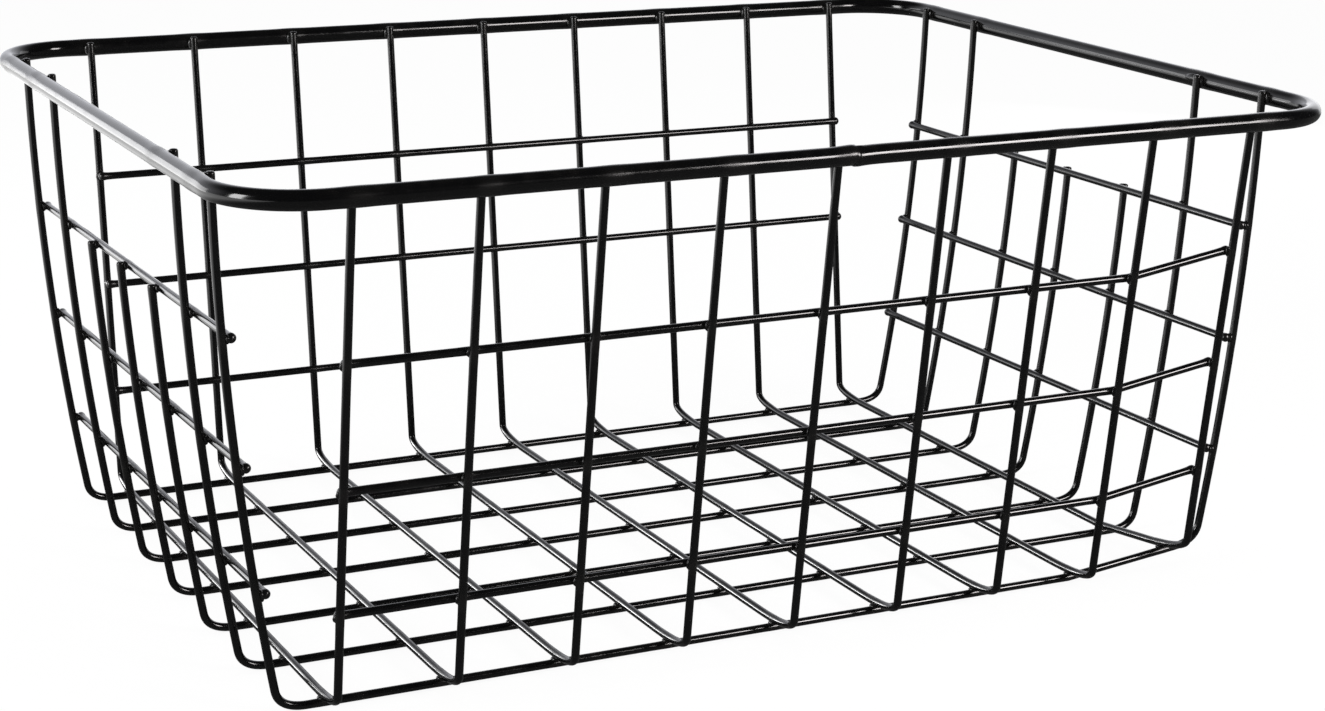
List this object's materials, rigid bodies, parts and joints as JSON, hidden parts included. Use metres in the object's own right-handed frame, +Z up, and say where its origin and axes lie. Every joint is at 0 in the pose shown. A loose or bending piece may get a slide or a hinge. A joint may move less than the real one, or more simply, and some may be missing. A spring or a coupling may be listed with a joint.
{
  "type": "wire basket",
  "caption": "Open rectangular storage basket of welded black wire with flared walls, a thick rounded rim and a hand opening under the rim at each end.",
  "frame": {"origin": "middle of the footprint, on the table the basket stands on", "axes": "+X along the basket's length towards its right end, +Y towards its back, +Z up"},
  "size_m": [0.379, 0.2878, 0.165],
  "materials": {
    "black_paint": "gloss black paint on steel wire"
  },
  "bodies": {
    "root": {"rim": "black_paint", "cross_hoop_1": "black_paint", "cross_hoop_2": "black_paint", "cross_hoop_3": "black_paint", "cross_hoop_4": "black_paint", "cross_hoop_5": "black_paint", "cross_hoop_6": "black_paint", "cross_hoop_7": "black_paint", "cross_hoop_8": "black_paint", "cross_hoop_9": "black_paint", "long_hoop_1": "black_paint", "long_hoop_2": "black_paint", "long_hoop_3": "black_paint", "long_hoop_4": "black_paint", "long_hoop_5": "black_paint", "long_hoop_6": "black_paint", "long_hoop_7": "black_paint", "front_row_top": "black_paint", "front_row_middle": "black_paint", "front_row_bottom": "black_paint", "back_row_top": "black_paint", "back_row_middle": "black_paint", "back_row_bottom": "black_paint", "left_row_top": "black_paint", "left_row_middle": "black_paint", "left_row_bottom": "black_paint", "right_row_top": "black_paint", "right_row_middle": "black_paint", "right_row_bottom": "black_paint"}
  },
  "joints": []
}
